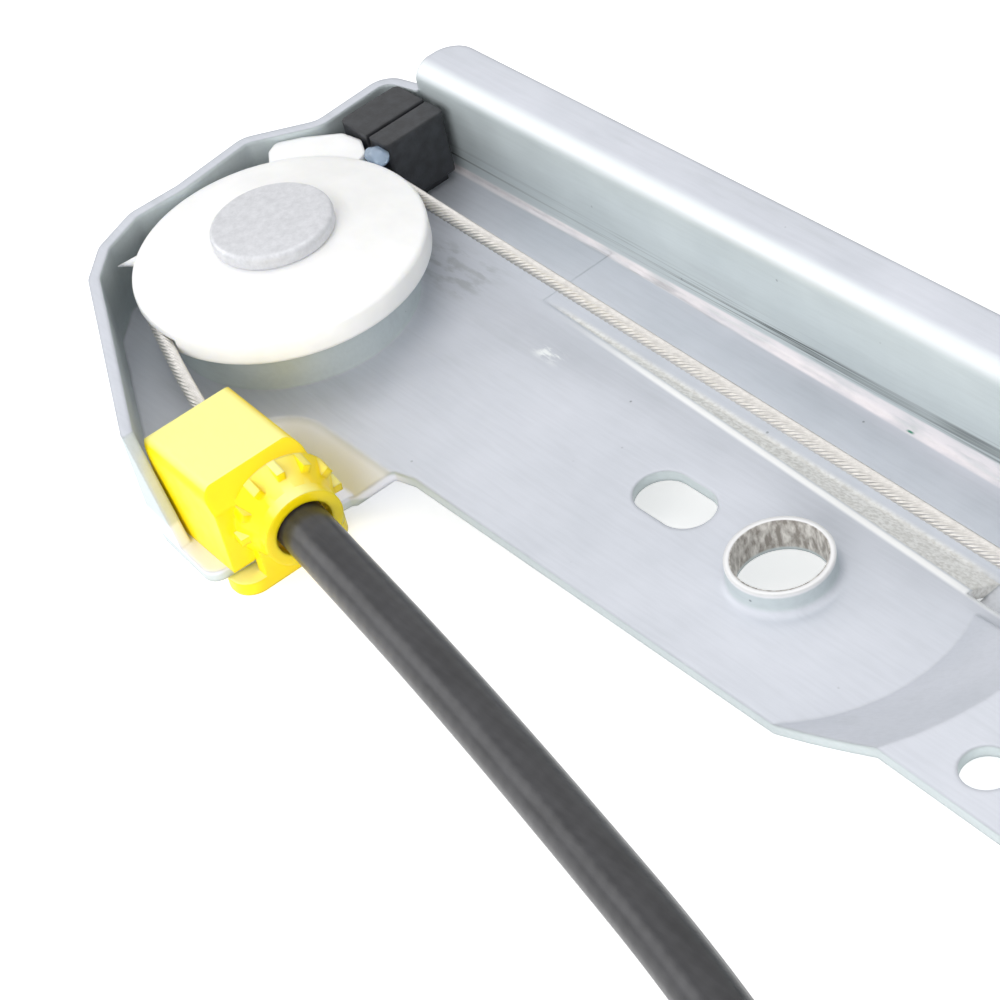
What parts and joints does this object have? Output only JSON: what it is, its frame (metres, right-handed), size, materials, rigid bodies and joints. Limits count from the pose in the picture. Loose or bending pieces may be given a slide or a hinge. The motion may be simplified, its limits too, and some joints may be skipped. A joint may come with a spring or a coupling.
{
  "type": "window regulator",
  "caption": "Single-rail cable window regulator: pressed steel rail with plastic cable guides, sliding glass carrier, conduits and cable drum.",
  "frame": {"origin": "axis of the collared upper fixing hole at the upper face of the mounting plate", "axes": "+X along the rail from its upper end to its lower end, +Y from the mounting plate to the rail's flange, +Z from the plate towards the glass"},
  "size_m": [0.5622, 0.1956, 0.0405],
  "materials": {
    "zinc_plated_steel": "zinc-plated pressed sheet",
    "rivet_steel": "plain cold-headed rivet",
    "guide_plastic": "moulded white",
    "fitting_plastic": "moulded yellow",
    "bumper_rubber": "moulded black",
    "conduit_cover": "extruded dark grey",
    "rope_steel": "stranded and greased",
    "slider_plastic": "moulded natural white",
    "nipple_zinc": "cast zinc",
    "pad_rubber": "moulded black",
    "screw_steel": "zinc-plated",
    "housing_plastic": "moulded black",
    "spring_steel": "drawn wire"
  },
  "bodies": {
    "regulator": {"guide_rail": "zinc_plated_steel", "upper_cable_guide": "guide_plastic", "lower_cable_guide": "guide_plastic", "upper_guide_rivet": "rivet_steel", "lower_guide_rivet": "rivet_steel", "upper_conduit_fitting": "fitting_plastic", "lower_conduit_fitting": "fitting_plastic", "upper_bumper": "bumper_rubber", "lower_bumper": "bumper_rubber", "upper_conduit": "conduit_cover", "lower_conduit": "conduit_cover", "upper_rope": "rope_steel", "lower_rope": "rope_steel", "drum_housing": "housing_plastic", "motor_bushes": "screw_steel", "housing_cover": "housing_plastic", "cover_screws": "screw_steel", "drum_bush": "slider_plastic", "upper_conduit_sleeve": "housing_plastic", "lower_conduit_sleeve": "housing_plastic", "upper_slack_spring": "spring_steel", "lower_slack_spring": "spring_steel"},
    "carrier": {"carrier_plate": "zinc_plated_steel", "upper_glide_shoe": "slider_plastic", "lower_glide_shoe": "slider_plastic", "nipple_holder": "slider_plastic", "upper_nipple": "nipple_zinc", "lower_nipple": "nipple_zinc", "clamp_pads": "pad_rubber", "clamp_plate": "zinc_plated_steel", "clamp_screw": "screw_steel", "clamp_nut": "screw_steel"},
    "drum": {"cable_drum": "slider_plastic", "drum_windings": "rope_steel"}
  },
  "joints": [
    {"name": "carrier_slide", "type": "slide", "parent": "regulator", "child": "carrier", "axis": [1, 0, 0], "range_m": [-0.162, 0.282], "deforming": ["upper_rope", "lower_rope"]},
    {"name": "drum_spin", "type": "hinge", "parent": "regulator", "child": "drum", "pos_m": [0.1814, -0.1297, 0], "axis": [0, 0, 1], "range_deg": [-465, 809]}
  ],
  "couplings": [
    {"joint": "drum_spin", "follows": "carrier_slide", "rad_per_m": 50}
  ]
}
